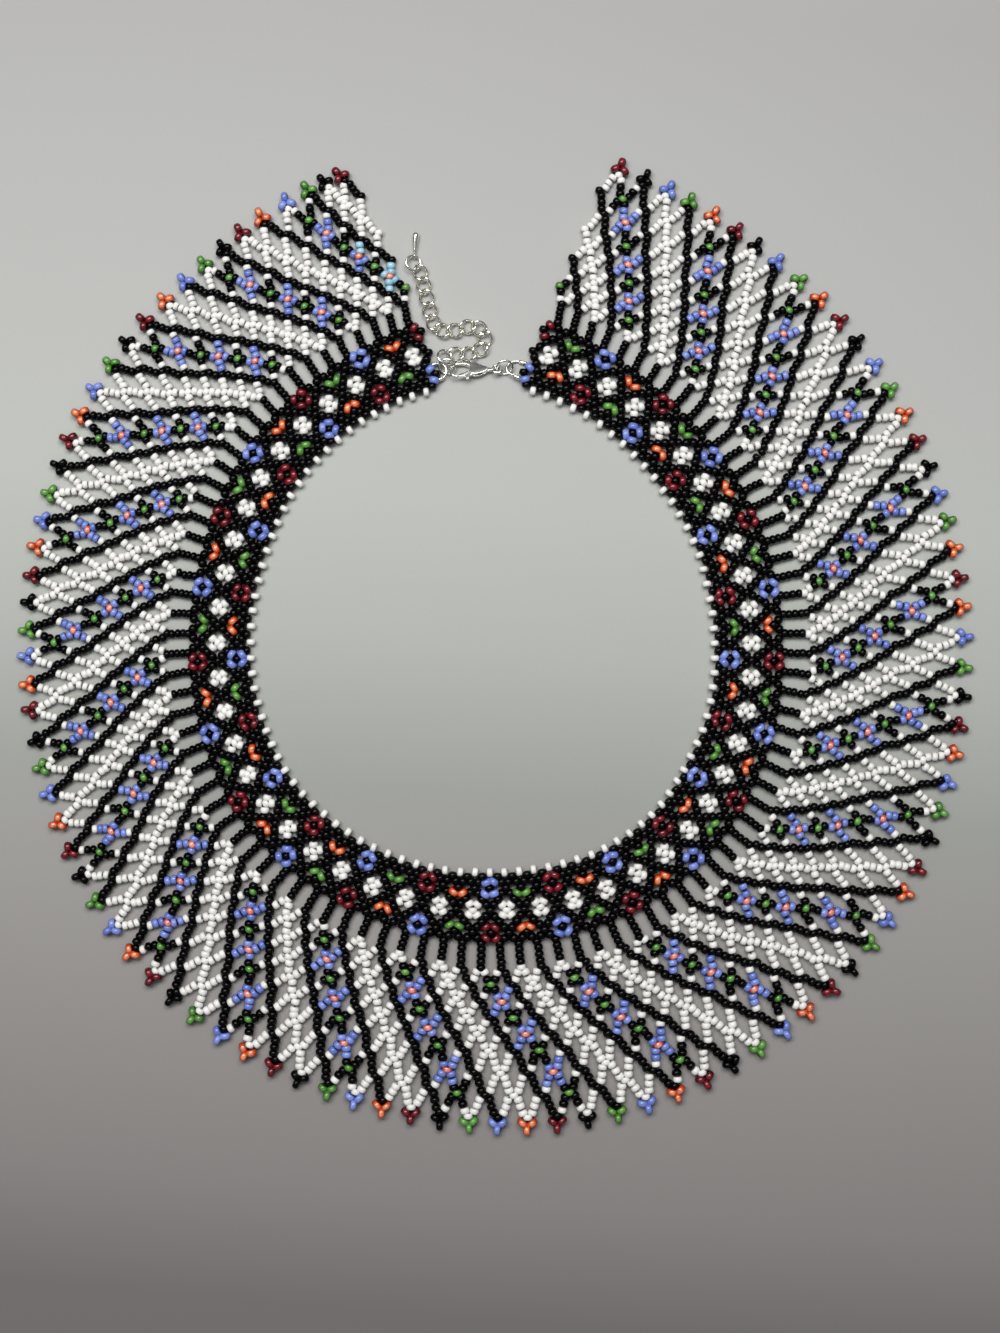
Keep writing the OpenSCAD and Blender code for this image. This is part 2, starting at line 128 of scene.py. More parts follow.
# %% A finish: its nodes and its shader
class Finish:
    """A node tree with the shader that it feeds."""

    def __init__(self, tree, shader):
        self.tree = tree
        self.shader = shader

    def node(self, kind, settings, inputs, output=0):
        made = self.tree.nodes.new(kind)
        for name, value in settings.items():
            if name == "stops":
                self.set_stops(made.color_ramp, value)
            else:
                setattr(made, name, value)
        for name, value in inputs.items():
            if isinstance(value, Wire):
                self.tree.links.new(value.socket, made.inputs[name])
            else:
                made.inputs[name].default_value = value
        return Wire(self, made.outputs[output])

    def set_stops(self, ramp, stops):
        for k, (place, colour) in enumerate(stops):
            stop = ramp.elements[k] if k < 2 else ramp.elements.new(place)
            stop.position = place
            stop.color = (*colour, 1.0)

    def blend(self, share, first, second):
        colours = [c if isinstance(c, Wire) else (*c, 1.0) for c in (first, second)]
        inputs = {0: share, 6: colours[0], 7: colours[1]}
        return self.node("ShaderNodeMix", {"data_type": "RGBA"}, inputs, 2)

    def noise(self, place, size, detail=1.0):
        """Clouds about so many metres across, from 0 to 1."""
        return self.node("ShaderNodeTexNoise", {}, {"Vector": place, "Scale": 1 / size, "Detail": detail})

    def feed(self, **wires):
        for socket, wire in wires.items():
            self.tree.links.new(wire.socket, self.shader.inputs[socket.replace("_", " ")])


def new_finish(name, **constants):
    """A material whose unchanging values are set on its shader, and the finish that varies the rest."""
    material = bpy.data.materials.new(name)
    material.use_nodes = True
    shader = material.node_tree.nodes["Principled BSDF"]
    for socket, value in constants.items():
        shader.inputs[socket.replace("_", " ")].default_value = value
    return material, Finish(material.node_tree, shader)


def linear(red, green, blue):
    """The shader's linear colour for a colour from 0 to 255."""
    shares = [v / 255 for v in (red, green, blue)]
    return tuple(((v + 0.055) / 1.055) ** 2.4 if v > 0.04 else v / 12.92 for v in shares)


print("a bead's white, in the shader's terms:", [round(v, 2) for v in linear(240, 238, 232)])

# %% [markdown]
# ## Light
#
# The room's light comes from one wide panel above, beyond the nape and a little to the left. Its soft
# shadows fall towards the front right, and its reflection is the short grey streak on each black bead.
# The sky is a plain grey that darkens towards the horizon, so that wire has dark flanks.

# %% Panel and sky
PANEL_AT = (-0.12, 0.42, 0.95)
PANEL_SIZE = (1.1, 0.42)
PANEL_POWER = 11.6
PANEL_COLOUR = (1.0, 0.995, 0.985)
panel_data = bpy.data.lights.new("panel", "AREA")
panel_data.shape = "RECTANGLE"
panel_data.size, panel_data.size_y = PANEL_SIZE
panel_data.energy = PANEL_POWER
panel_data.color = PANEL_COLOUR
panel = bpy.data.objects.new("panel", panel_data)
bpy.context.scene.collection.objects.link(panel)
panel.location = PANEL_AT
panel.rotation_mode = "QUATERNION"
panel.rotation_quaternion = (-Vector(PANEL_AT)).to_track_quat("-Z", "Y")

world = bpy.data.worlds.new("room")
world.use_nodes = True
bpy.context.scene.world = world
sky = Finish(world.node_tree, world.node_tree.nodes["Background"])
direction = sky.node("ShaderNodeTexCoord", {}, {}, 0)
height = sky.node("ShaderNodeSeparateXYZ", {}, {"Vector": direction}, 2)
ZENITH = (0.25, 0.255, 0.27)
HORIZON = (0.03, 0.03, 0.033)
SKY_STOPS = [(0.1, HORIZON), (0.75, ZENITH)]
sky.feed(Color=sky.node("ShaderNodeValToRGB", {"stops": SKY_STOPS}, {"Fac": height}))
bpy.context.scene.view_settings.view_transform = "Standard"

# %% [markdown]
# ## Board
#
# The collar lies on a smooth grey board that is lightest behind the collar and darker towards the
# front. A slightly slanting gradient gives that, with a very faint grain so that it isn't a void.

# %% Grey board
BOARD_REACH = 3.0
board_mesh = bpy.data.meshes.new("board")
corners = [(BOARD_REACH * x, BOARD_REACH * y, 0) for x, y in ((-1, -1), (1, -1), (1, 1), (-1, 1))]
board_mesh.from_pydata(corners, [], [(0, 1, 2, 3)])
board = bpy.data.objects.new("board", board_mesh)
bpy.context.scene.collection.objects.link(board)

board_material, finish = new_finish("grey_board", Roughness=0.6)
place = finish.node("ShaderNodeTexCoord", {}, {}, 3)
across = finish.node("ShaderNodeSeparateXYZ", {}, {"Vector": place}, 0)
SLANT = 0.08
along = finish.node("ShaderNodeSeparateXYZ", {}, {"Vector": place}, 1) + across * SLANT
FRONT_EDGE = -0.189
BACK_EDGE = 0.181
share = ((along - FRONT_EDGE) / (BACK_EDGE - FRONT_EDGE)).clamped()
TONES = [(0.0, linear(115, 111, 110)), (0.09, linear(136, 132, 130)), (0.32, linear(156, 153, 150)),
         (0.4, linear(158, 160, 154)), (0.51, linear(177, 179, 173)), (0.62, linear(184, 187, 180)),
         (0.7, linear(182, 183, 179)), (1.0, linear(166, 165, 164))]
tone = finish.node("ShaderNodeValToRGB", {"stops": TONES}, {"Fac": share})
GRAIN = 0.06
grain = finish.noise(place, 1.2 * MM, 3.0)
finish.feed(Base_Color=finish.blend(grain * GRAIN, tone, linear(120, 120, 118)))
board.data.materials.append(board_material)
print("board tones:", len(TONES))

# %% [markdown]
# ## Layout: lines and rows
#
# Ninety-six lines run out from the neck edge. A collar laid by hand is never quite round, so its
# course is a table: at some lines, the angle at the neck, at the spoke and at the tip, four radii and a
# bow. A smooth curve runs between those lines. Even rows stand on the lines and odd rows between them,
# and that makes the diamonds of the net.

# %% Course of the collar
HUB = np.array((-2.68, 4.11))
LINES = 96
LAST = LINES - 1
LEG_BEADS = [2, 2, 2, 2, 2, 3, 3, 3]
ROWS = len(LEG_BEADS)
BAND_ROWS = 6
# Line, then degrees at neck, spoke and tip, then the radius of neck edge, band, net and last row in mm,
# then the bow of the line half way through the net, in degrees
COURSE = np.array([
    [0, -167.7, -165.9, -162.6, 68.6, 88.9, 94.5, 132.2, 0.47],
    [2, -161.1, -160, -158.2, 68.4, 87.8, 93.1, 131.4, 0.63],
    [4, -154.5, -153.3, -151.5, 67.9, 86.6, 92, 129.7, 0.18],
    [6, -147.7, -146.6, -145.5, 67.5, 86, 91.8, 128.2, 0.05],
    [8, -140.7, -139.6, -139.3, 67.1, 85.6, 91.6, 127.2, 0.04],
    [12, -126.7, -125.6, -125.3, 66.1, 84.7, 90.7, 127, 0.15],
    [16, -112.3, -111.6, -111.2, 64.8, 83.4, 89.2, 126.2, -0.12],
    [20, -97.1, -97.2, -97.2, 64.8, 83, 88.9, 125.8, -0.06],
    [24, -81.8, -82.3, -83.5, 65.7, 83.9, 90, 126.8, -0.05],
    [28, -67.5, -68.1, -69.5, 66.6, 85.3, 91.5, 128.4, -0.22],
    [32, -53.8, -53.8, -55.1, 67.7, 86.8, 93, 130.9, 0.07],
    [36, -39.9, -40, -40.7, 67.6, 86.8, 93.3, 132.7, -0.01],
    [40, -25.7, -25.9, -26.2, 67.4, 86.6, 92.7, 133.3, -0.02],
    [44, -11.4, -11.4, -12.4, 67, 86.9, 93.2, 134.2, -0.03],
    [48, 2.6, 2.6, 1.4, 66.8, 87.4, 94.1, 135.9, 0.16],
    [52, 16.6, 16.2, 15.4, 67.6, 88.3, 95.1, 137.4, -0.01],
    [56, 30.5, 30.2, 29.7, 68.6, 89.1, 95.5, 137.3, -0.02],
    [60, 43.8, 44.3, 43.8, 68.3, 88.9, 95.3, 136.9, -0.07],
    [64, 57, 57.8, 57.9, 66.5, 87.3, 94.1, 136.1, -0.1],
    [68, 71, 71.8, 71.9, 65.4, 85.7, 92, 133.8, -0.04],
    [72, 85.3, 86.1, 85.8, 63.6, 83.9, 90.6, 132, -0.23],
    [76, 100.3, 100.6, 100, 62.7, 83, 89.6, 130.8, -0.22],
    [80, 115.6, 115, 113.9, 62.8, 82.8, 88.9, 129.9, -0.23],
    [84, 130.7, 129.3, 128, 63.1, 82.9, 89, 129.8, -0.45],
    [88, 145.8, 143.6, 141.8, 64.7, 83.6, 89.6, 129.7, -0.53],
    [90, 153.2, 150.6, 148.1, 65.9, 84.9, 90.3, 130.2, -0.52],
    [92, 160.5, 157.6, 154.5, 66.9, 86.4, 91.9, 131.2, -0.55],
    [95, 170.7, 167, 163.8, 68.3, 88.9, 94.2, 133.1, -0.58],
])
NECK_ANGLE, SPOKE_ANGLE, TIP_ANGLE, NECK_R, BAND_R, NET_R, LAST_R, BOW = range(1, 9)


def slope(k, column):
    low, high = max(k - 1, 0), min(k + 1, len(COURSE) - 1)
    return (COURSE[high, column] - COURSE[low, column]) / (COURSE[high, 0] - COURSE[low, 0])


def course(u, column):
    """One column of the table at line u, along a smooth curve."""
    k = min(max(int(np.searchsorted(COURSE[:, 0], u, "right")) - 1, 0), len(COURSE) - 2)
    length = COURSE[k + 1, 0] - COURSE[k, 0]
    t = (u - COURSE[k, 0]) / length
    start, end = COURSE[k, column], COURSE[k + 1, column]
    rise, fall = slope(k, column) * length, slope(k + 1, column) * length
    if t < 0:
        return start + rise * t
    if t > 1:
        return end + fall * (t - 1)
    eased = 3 * t**2 - 2 * t**3
    return (1 - eased) * start + eased * end + (t**3 - 2 * t**2 + t) * rise + (t**3 - t**2) * fall


def around(degrees, radius):
    turn = math.radians(degrees)
    return np.array([HUB[0] + radius * math.sin(turn), HUB[1] - radius * math.cos(turn)])


print("radius of the neck edge at the front:", round(course(LAST / 2, NECK_R), 1), "mm")

# %% Places in the band and in the net
EDGING = 1.7
row_share = np.cumsum([0] + [n + 1 for n in LEG_BEADS]) / (sum(LEG_BEADS) + ROWS)


def in_band(u, row):
    """A place in the band: row 0 at the neck, row 6 at its outer side."""
    share = row / BAND_ROWS
    first = course(u, NECK_R) + EDGING
    degrees = course(u, NECK_ANGLE) * (1 - share) + course(u, SPOKE_ANGLE) * share
    return around(degrees, first + (course(u, BAND_R) - first) * share)


def in_net(u, row):
    """A place in the net: row 0 at the spokes, row 8 at the tips."""
    share = float(np.interp(row, range(ROWS + 1), row_share))
    degrees = course(u, SPOKE_ANGLE) * (1 - share) + course(u, TIP_ANGLE) * share
    radius = course(u, NET_R) * (1 - share) + course(u, LAST_R) * share
    return around(degrees + course(u, BOW) * math.sin(math.pi * share), radius)


def on_line(line, row):
    """The knot bead of a line at a row: each row steps half a place round."""
    return in_net(line + row / 2, row)


def unit(v):
    return v / np.linalg.norm(v)


def left_of(v):
    return np.array([-v[1], v[0]])


edge = [in_band(u, 0) for u in range(LINES)]
print("neck edge:", round(sum(np.linalg.norm(b - a) for a, b in zip(edge, edge[1:])) / 10, 1), "cm")

# %% [markdown]
# ## One bead
#
# A seed bead is a short piece of glass tube that was tumbled hot until its ends went round. A sphere
# or a ring could stand in for it, but a bead is neither: it is plump at its middle, its ends are
# flatter, and the hole shows at a tip. A loop of six points turned in ten steps has all three.

# %% Profile of a bead and its turning
BEAD_R = 1.2
BEAD_L = 1.81
STEPS = 10
# Radius as a share of the bead's, and place along the hole as a share of its length
PROFILE = np.array([(0.36, 0), (0.62, -0.5), (0.91, -0.33), (1, 0), (0.91, 0.33), (0.62, 0.5)])
turns = np.arange(STEPS) * 2 * math.pi / STEPS
bead_points = np.array([(r * math.cos(a), r * math.sin(a), z) for a in turns for r, z in PROFILE])


def quads_of_turning(steps, size):
    """Faces of a closed loop of points that is turned in steps: each joins a step to the next."""
    quads = []
    for step in range(steps):
        here, there = step * size, (step + 1) % steps * size
        after = [(p + 1) % size for p in range(size)]
        quads += [(here + p, there + p, there + q, here + q) for p, q in enumerate(after)]
    return quads


bead_quads = np.array(quads_of_turning(STEPS, len(PROFILE)))
print("a bead:", len(bead_points), "points,", len(bead_quads) * 2, "triangles")

# %% [markdown]
# A laid bead has a middle, the direction of its hole, a colour, and the piece that it belongs to. Real
# beads differ a little in length and width and sit a little askew. Without that the net looks printed.
# Each colour is a batch of its own, with its own size, and towards the throat all beads look wider.

# %% Laying a bead
BATCH = {"black": 1.05, "white": 1.0, "blue": 1.09, "green": 1.08, "orange": 1.16, "coral": 1.2,
         "red": 1.14, "sky": 1.06}
# The part of a batch's difference in width that its length has too
LENGTH_TOO = 0.6
# The widening starts at this y and is complete so many millimetres further
THROAT_Y = -50
THROAT_REACH = 60
THROAT_WIDER = 0.11
# Least and greatest width and length of a bead, as shares of what its batch has
WIDTHS, LENGTHS = (0.98, 1.04), (0.95, 1.04)
# Spread of a bead's lean and yaw in degrees, of its lift and of its place in millimetres
LEAN, YAW, LIFT, ASKEW = 5, 5.5, 0.05, 0.07
# How far from its middle a leaning bead touches the board, as a share of its length
RIM_AT = 0.3
beads = {}
threads = []


def lay(piece, colour, middle, along, length=BEAD_L, spread=1.0):
    """Adds one bead, in millimetres, with its hole along a direction in the plane."""
    batch = BATCH[colour]
    throat = np.clip((THROAT_Y - middle[1]) / THROAT_REACH, 0, 1)
    width = BEAD_R * batch * chance.uniform(*WIDTHS) * spread * (1 + THROAT_WIDER * throat)
    long = length * (1 + LENGTH_TOO * (batch - 1)) * chance.uniform(*LENGTHS)
    lean = math.radians(chance.gauss(0, LEAN))
    yaw = math.radians(chance.gauss(0, YAW))
    flat = unit(np.asarray(along, float))
    flat = flat * math.cos(yaw) + left_of(flat) * math.sin(yaw)
    axis = np.array([*(flat * math.cos(lean)), math.sin(lean)])
    across = unit(np.array([-axis[1], axis[0], 0.0]))
    up = np.cross(axis, across)
    roll = chance.uniform(0, math.pi)
    first = across * math.cos(roll) + up * math.sin(roll)
    second = up * math.cos(roll) - across * math.sin(roll)
    # A leaning bead stands on the rim of its end
    height = width * math.cos(lean) + RIM_AT * long * abs(math.sin(lean)) + abs(chance.gauss(0, LIFT))
    centre = np.array([middle[0] + chance.gauss(0, ASKEW), middle[1] + chance.gauss(0, ASKEW), height])
    bead = (centre, first * width, second * width, axis * long, colour, chance.random())
    beads.setdefault(piece, []).append(bead)


def lay_leg(piece, colours, start, end, gap=0.4, splay=0.27):
    """Beads in a row on the thread from one knot bead to the next, which leaves each knot to a side."""
    out = unit((start + end) / 2 - HUB)
    aside = left_of(out) * np.dot(end - start, left_of(out)) * splay
    first, last = start + out * gap + aside, end - out * gap - aside
    way = unit(last - first)
    pitch = np.linalg.norm(last - first) / len(colours)
    for k, colour in enumerate(colours):
        lay(piece, colour, first + way * pitch * (k + 0.5), way, min(BEAD_L, pitch))
    threads.extend([(start, first), (first, last), (last, end)])


print("a bead is", 2 * BEAD_R, "mm across and", BEAD_L, "mm long")

# %% [markdown]
# ## The band
#
# The band is netted too, with one bead to each side of its diamonds, so that knot beads and leg beads
# alternate and hardly a gap is left. All is black glass except for a repeat of four lines: a ring of
# four petals, a leaf of two beads, and a white flower on each side of the leaf.

# %% Colours of the band
REPEATS = 25
# How far outwards, in mm, petals lie: in the inner rings, in the outer rings and in the white flowers
INNER_PULL, OUTER_PULL, WHITE_PULL = 0.1, 0.05, -0.12
band_knots = {}
band_legs = {}
band_pulls = {}


def petals(line, row, colour, pull):
    """Four legs round a knot, which the thread pulls a little off their middles."""
    for du in (-0.25, 0.25):
        for dk in (-0.5, 0.5):
            band_legs[line + du, row + dk] = colour
            band_pulls[line + du, row + dk] = (line, row, pull)


for repeat in range(REPEATS):
    ring, leaf = 4 * repeat - 0.5, 4 * repeat + 1.5
    even = repeat % 2 == 0
    petals(ring, 1, "blue" if even else "red", INNER_PULL)
    petals(ring, 5, "red" if even else "blue", OUTER_PULL)
    for du in (-0.25, 0.25):
        band_legs[leaf + du, 1.5] = "green" if even else "orange"
        band_legs[leaf + du, 4.5] = "orange" if even else "green"
    for white in (leaf - 1, leaf + 1):
        band_knots[white, 3] = "white"
        petals(white, 3, "white", WHITE_PULL)
print("coloured beads in the band:", len(band_knots) + len(band_legs))

# %% Beads of the band
# Two pieces share the band, split at the front. Its beads are wider than the net's, its petals more so
BAND_SPLIT = 47.6
BAND_SPREAD = 1.06
PETAL_SPREAD = 1.13


def band_piece(u):
    return "band_left" if u < BAND_SPLIT else "band_right"


for row in range(BAND_ROWS + 1):
    odd = row % 2
    for n in range(LINES + odd):
        u = n - 0.5 * odd
        here = in_band(u, row)
        if row < BAND_ROWS:
            lay(band_piece(u), band_knots.get((u, row), "black"), here, here - HUB, spread=BAND_SPREAD)
        for step in (-0.5, 0.5):
            beyond = u + step
            lowest, highest = (0, LAST) if odd else (-0.5, LAST + 0.5)
            if row == BAND_ROWS or not lowest <= beyond <= highest:
                continue
            there = in_band(beyond, row + 1)
            middle = (here + there) / 2
            leg = (u + step / 2, row + 0.5)
            if leg in band_pulls:
                line, centre_row, pull = band_pulls[leg]
                middle = middle + pull * unit(middle - in_band(line, centre_row))
            colour = band_legs.get(leg, "black")
            grown = 1.0 if colour in ("black", "white") else PETAL_SPREAD
            lay(band_piece(u), colour, middle, there - here, BEAD_L * grown**0.5, BAND_SPREAD * grown)
            out = unit(here + there - 2 * HUB) * BEAD_L / 2
            threads += [(here, here + out), (here + out, there - out), (there - out, there)]

EDGING_OUT = 0.6
EDGING_L = BEAD_L * 0.95
EDGING_SPREAD = 1.07
for n in range(LAST):
    here = around(course(n + 0.5, NECK_ANGLE), course(n + 0.5, NECK_R) + EDGING_OUT)
    lay(band_piece(n), "white", here, left_of(here - HUB), EDGING_L, EDGING_SPREAD)
print("beads in the band:", sum(len(v) for v in beads.values()))

# %% [markdown]
# ## The net
#
# Beyond the band each line has a spoke of black beads, and then runs slanting to its tip. Every fourth
# line is the middle of a white strip and every fourth the middle of a flower strip, with a black rib
# between the two. Legs that cross from line to line close the diamonds. A flower is a coral knot bead
# whose four legs start blue, and a leaf a green one whose legs start black.

# %% Colours of the net
K, W, B = "black", "white", "blue"
KINDS = ["rib", "white", "rib", "flower"]
FLOWER_KNOTS = ["black", "green", "coral", "green", "coral", "green", "coral", "green", "white"]
FLOWER_LINE = [[W, K], [K, B], [B, K], [K, B], [B, K], [K, K, B], [B, B, K], [K, K, W]]
FLOWER_LEFT = [[W, W], [K, W], [B, B], [K, W], [B, B], [K, K, W], [B, B, W], [K, K, W]]
FLOWER_RIGHT = [[W, K], [B, B], [W, K], [B, B], [W, K], [W, B, B], [W, K, K], [W, W, W]]
TIP_ORDER = ["red", "black", "green", "blue", "orange"]
TIP_ORDER_NAPE = ["orange", "green", "blue", "black", "red"]
NAPE_TIPS_FROM = 76
TIP_STEP = 4
PARTS = 12
# At the left nape the first flower was finished in sky blue, on the legs that start at these knots
SKY_LINE = {(-1, 1): [K, "sky"], (-1, 2): ["sky", K]}
SKY_CROSS = {(0, 1): ["sky", "sky"], (-1, 2): ["sky", "sky"], (-1, 4): ["sky", "sky"]}


def kind_of(line):
    return KINDS[(line + TIP_STEP) % 4]


def piece_of(line):
    """Eight lines make a part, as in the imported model."""
    part = min(max(line // (LINES // PARTS), 0), PARTS - 1) + 1
    family = {"rib": "black_ribs", "white": "white_strips", "flower": "flower_strips"}[kind_of(line)]
    return family + "_%02d" % part


def has_knot(line, row):
    """The nape cuts the net along lines -0.5 and 95.5."""
    return line >= -TIP_STEP and max(0, -2 * line - 1) <= row <= min(ROWS, 2 * (LINES - line) - 1)


def knot_colour(line, row):
    if kind_of(line) != "flower":
        return "black" if kind_of(line) == "rib" else "white"
    if row == 0:
        return "black" if (line + 1) // 4 % 2 == 0 else "white"
    return FLOWER_KNOTS[row]


def line_colours(line, row):
    plain = {"rib": [K] * LEG_BEADS[row], "white": [W] * LEG_BEADS[row], "flower": FLOWER_LINE[row]}
    return SKY_LINE.get((line, row), plain[kind_of(line)])


def cross_colours(line, row):
    """Colours of the leg that goes back from a line to the one before it."""
    colours = [W] * LEG_BEADS[row]
    if kind_of(line) == "flower":
        colours = FLOWER_LEFT[row]
    elif kind_of(line - 1) == "flower":
        colours = FLOWER_RIGHT[row]
    return SKY_CROSS.get((line, row), colours)


print("flower strips:", sum(kind_of(i) == "flower" for i in range(-TIP_STEP, LINES)))

# %% Beads of the net
for line in range(-TIP_STEP, LINES):
    piece = piece_of(line)
    for row in range(ROWS + 1):
        if not has_knot(line, row):
            continue
        here = on_line(line, row)
        lay(piece, knot_colour(line, row), here, here - HUB)
        if has_knot(line, row + 1):
            lay_leg(piece, line_colours(line, row), here, on_line(line, row + 1))
        if row < ROWS and has_knot(line - 1, row + 1):
            strip = piece_of(line - 1) if kind_of(line) == "rib" else piece
            lay_leg(strip, cross_colours(line, row), here, on_line(line - 1, row + 1))
print("beads with the net:", sum(len(v) for v in beads.values()))

# %% [markdown]
# Each spoke is black beads in a row. At the far end of each line the thread takes three more beads in
# a loop and turns back through the last knot. That gives a three-lobed tip, in one of five colours
# that follow each other round.

# %% Spokes and tips
SPOKE_GAP = 0.75
for line in range(LINES):
    foot = around(course(line, SPOKE_ANGLE), course(line, BAND_R))
    head = on_line(line, 0)
    lay(piece_of(line), "black", foot, head - foot)
    lay_leg(piece_of(line), [K, K, K], foot, head, SPOKE_GAP)

# A tip's two near beads and its far one, in mm from the knot, and half of what lies between the near ones
TIP_NEAR, TIP_FAR, TIP_HALF = 1.4, 3.45, 1.25
# The slant of a near bead's hole, and the tips that lean to one side, in degrees
TIP_AHEAD, TIP_ASIDE = 0.83, 0.56
TIP_LEANS = {-4: 30, -3: 22, -2: 10}
TIP_SWAY = 6
TIP_SPREAD = 1.1
for line in range(-TIP_STEP, LINES - TIP_STEP):
    end = on_line(line, ROWS)
    order = line + TIP_STEP
    colour = TIP_ORDER[order % 5]
    if order >= NAPE_TIPS_FROM:
        colour = TIP_ORDER_NAPE[(order - NAPE_TIPS_FROM) % 5]
    lean = math.radians(TIP_LEANS.get(line, 0) + chance.gauss(0, TIP_SWAY))
    way = unit(end - HUB)
    out = way * math.cos(lean) + left_of(way) * math.sin(lean)
    room = [np.linalg.norm(on_line(line + s, ROWS) - end) for s in (-1, 1) if line + s >= -TIP_STEP]
    half = min(TIP_HALF, min(room) / 2 - BEAD_R)
    far = end + out * TIP_FAR
    for sign in (-1, 1):
        near = end + out * TIP_NEAR + left_of(out) * half * sign
        along = out * TIP_AHEAD + left_of(out) * sign * TIP_ASIDE
        lay(piece_of(line), colour, near, along, spread=TIP_SPREAD)
        threads += [(end, near), (near, far)]
    lay(piece_of(line), colour, far, left_of(out), spread=TIP_SPREAD)
total = sum(len(v) for v in beads.values())
print("all beads:", total, "in", len(beads), "pieces,", total * len(bead_quads) * 2, "triangles")

# %% [markdown]
# ## Glass
#
# The beads come in three makes. Opaque glass in black, white, green and the blues has its colour at
# the surface. The red is clear glass, dark in the thick of it. Orange and coral are clear glass over a
# pale pearly lining, with deep red flanks. Light and shade are painted into the colour too: every colour
# but black has painted shade on its flanks, which in the red and the pearls adds to the depth of the
# glass, and green, orange, coral and red have a painted highlight on the crown. Each bead carries two
# numbers: a chance value for its own shade of colour, and how far each point of it faces up, which tells
# the crown from the flank.

# %% Finishes of the beads
# Shares of facing up where the painted flank shade and the painted crown highlight start, and how sharply
# the highlight sets in
FLANK_FROM = 0.4
CROWN_FROM = 0.75
CROWN_EDGE = 3.2
CROWN_SHARE = 0.7


def bead_glass(name, low, high, flank_depth_and_shade=None, crown_highlight=None, rim=1.3, roughness=0.22, coat=0.2, **constants):
    """Glass in shades from low to high, with painted shade (and in clear glass its depth) on the flank
    and a painted highlight on the crown. A larger rim is a wider flank.
    """
    material, finish = new_finish(name, IOR=1.5, Coat_Roughness=0.1, **constants)
    shade = finish.node("ShaderNodeAttribute", {"attribute_name": "shade"}, {}, 2)
    facing = finish.node("ShaderNodeAttribute", {"attribute_name": "crown_highlight"}, {}, 2)
    place = finish.node("ShaderNodeTexCoord", {}, {}, 3)
    fleck = finish.noise(place, 0.5 * MM, 2.0)
    cloud = finish.noise(place, 2.2 * MM)
    colour = finish.blend((shade + (cloud - 0.5) * 0.6).clamped(), low, high)
    # The flank tint is painted shade on the sides that face away from the light; in the red and the
    # pearls it is also the deep colour of thick glass
    if flank_depth_and_shade:
        colour = finish.blend(((1.0 - facing) * rim - FLANK_FROM).clamped(), colour, flank_depth_and_shade)
    # The crown tint is a painted highlight on the parts that face up towards the panel, broken up by
    # flecks
    if crown_highlight:
        highlight_share = ((facing - CROWN_FROM) * CROWN_EDGE + (fleck - 0.5) * 1.5).clamped()
        colour = finish.blend(highlight_share * CROWN_SHARE, colour, crown_highlight)
    finish.feed(Base_Color=colour)
    finish.feed(Roughness=(roughness + (fleck - 0.5) * 0.08 + shade * 0.05).clamped())
    finish.feed(Coat_Weight=(coat - (cloud - 0.5) * 0.3).clamped())
    bump = {"Strength": 0.15, "Distance": 0.05 * MM, "Height": cloud}
    finish.feed(Normal=finish.node("ShaderNodeBump", {}, bump))
    return material


# Each finish: low and high shade of colour, then the flank tint, which is painted shade, then the crown
# tint, which is a painted highlight
GLASS = {
    "black": bead_glass("black_glass", linear(2, 2, 2), linear(7, 7, 8), roughness=0.13, coat=0.0,
                        Specular_IOR_Level=0.17),
    "white": bead_glass("white_glass", linear(238, 236, 231), linear(247, 246, 242),
                        linear(230, 228, 222), roughness=0.4, coat=0.05),
    "blue": bead_glass("blue_glass", linear(105, 124, 200), linear(137, 155, 228),
                       linear(60, 78, 160), coat=0.3),
    "green": bead_glass("green_glass", linear(69, 123, 42), linear(98, 155, 66), linear(24, 60, 13),
                        linear(124, 184, 96)),
    "orange": bead_glass("orange_pearl", linear(218, 74, 22), linear(236, 102, 42), linear(136, 24, 2),
                         linear(255, 204, 156), rim=2.0, roughness=0.24, coat=0.9),
    "coral": bead_glass("coral_pearl", linear(216, 98, 78), linear(234, 128, 106), linear(112, 18, 20),
                        linear(255, 214, 196), rim=2.0, roughness=0.24, coat=0.9),
    "red": bead_glass("dark_red_glass", linear(80, 3, 13), linear(118, 9, 25), linear(34, 0, 6),
                      linear(150, 30, 44), rim=1.6, roughness=0.24, coat=0.3),
    "sky": bead_glass("sky_glass", linear(142, 196, 218), linear(172, 216, 232), linear(98, 156, 188)),
}
PALETTE = list(GLASS)
print("glass:", PALETTE)

# %% [markdown]
# All beads of a piece go into one mesh. Seven thousand objects would be slow to handle, while one array
# of points and one of faces fill quickly.

